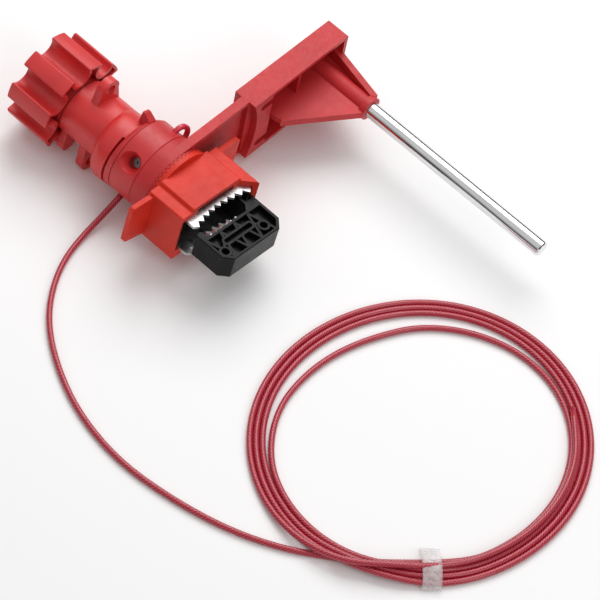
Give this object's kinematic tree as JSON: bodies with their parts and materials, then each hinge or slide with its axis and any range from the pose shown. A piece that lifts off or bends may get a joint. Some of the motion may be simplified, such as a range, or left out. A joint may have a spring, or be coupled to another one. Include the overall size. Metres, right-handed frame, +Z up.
{
  "type": "valve lockout",
  "caption": "Clamp-on valve lockout: a star knob draws a toothed hook jaw shut, an indexing arm carries a blocking rod, and a sheathed steel cable lies coiled beside it.",
  "frame": {"origin": "middle of the object's box without its free cable, on the surface that it lies on", "axes": "+X along the barrel from the knob towards the clamp and along the blocking rod, +Y along the arm, +Z up"},
  "size_m": [0.3484, 0.2449, 0.0532],
  "materials": {
    "red_knob_plastic": "moulded, satin",
    "red_barrel_plastic": "moulded, satin",
    "red_ring_plastic": "moulded, satin",
    "red_clamp_plastic": "moulded, satin",
    "red_arm_plastic": "moulded, fine spark texture",
    "black_nylon": "glass filled, semi-gloss",
    "galvanised_plate": "zinc plated, pale",
    "zinc_steel": "zinc plated",
    "spring_steel": "oiled",
    "polished_rod": "polished",
    "cable_sheath": "clear red sheath over strands",
    "clear_tape": "thin clear film"
  },
  "bodies": {
    "clamp_frame": {"clamp_housing": "red_clamp_plastic", "barrel": "red_barrel_plastic", "barrel_pin": "zinc_steel", "cable_ring": "red_ring_plastic", "cable_anvil": "spring_steel", "cable_bight": "cable_sheath", "fixed_plate_upper": "galvanised_plate", "fixed_plate_lower": "galvanised_plate", "plate_screws": "zinc_steel", "cable_lead": "cable_sheath", "cable_coil": "cable_sheath", "coil_tape": "clear_tape"},
    "knob": {"knob": "red_knob_plastic", "knob_cap": "red_knob_plastic", "knob_nut": "zinc_steel", "thrust_washer": "zinc_steel", "retaining_ring": "spring_steel"},
    "hook": {"hook_jaw": "black_nylon", "hook_plate": "galvanised_plate", "jaw_rivets": "spring_steel", "draw_screw": "zinc_steel", "hook_pin": "spring_steel"},
    "arm": {"arm": "red_arm_plastic", "blocking_rod": "polished_rod", "rod_pin": "spring_steel"},
    "collar": {"lock_collar": "red_barrel_plastic"}
  },
  "joints": [
    {"name": "knob_turn", "type": "hinge", "parent": "clamp_frame", "child": "knob", "pos_m": [-0.10075, -0.04045, 0.02599], "axis": [-1, 0, 0], "range_deg": [0, 3060]},
    {"name": "hook_slide", "type": "slide", "parent": "clamp_frame", "child": "hook", "axis": [1, 0, 0], "range_m": [0, 0.017]},
    {"name": "arm_index", "type": "hinge", "parent": "clamp_frame", "child": "arm", "pos_m": [-0.03475, -0.04045, 0.02599], "axis": [1, 0, 0], "range_deg": [0, 180]},
    {"name": "collar_turn", "type": "hinge", "parent": "clamp_frame", "child": "collar", "pos_m": [-0.05575, -0.04045, 0.02599], "axis": [-1, 0, 0], "range_deg": [0, 20]}
  ],
  "couplings": [
    {"joint": "knob_turn", "follows": "hook_slide", "rad_per_m": 3141.6}
  ]
}
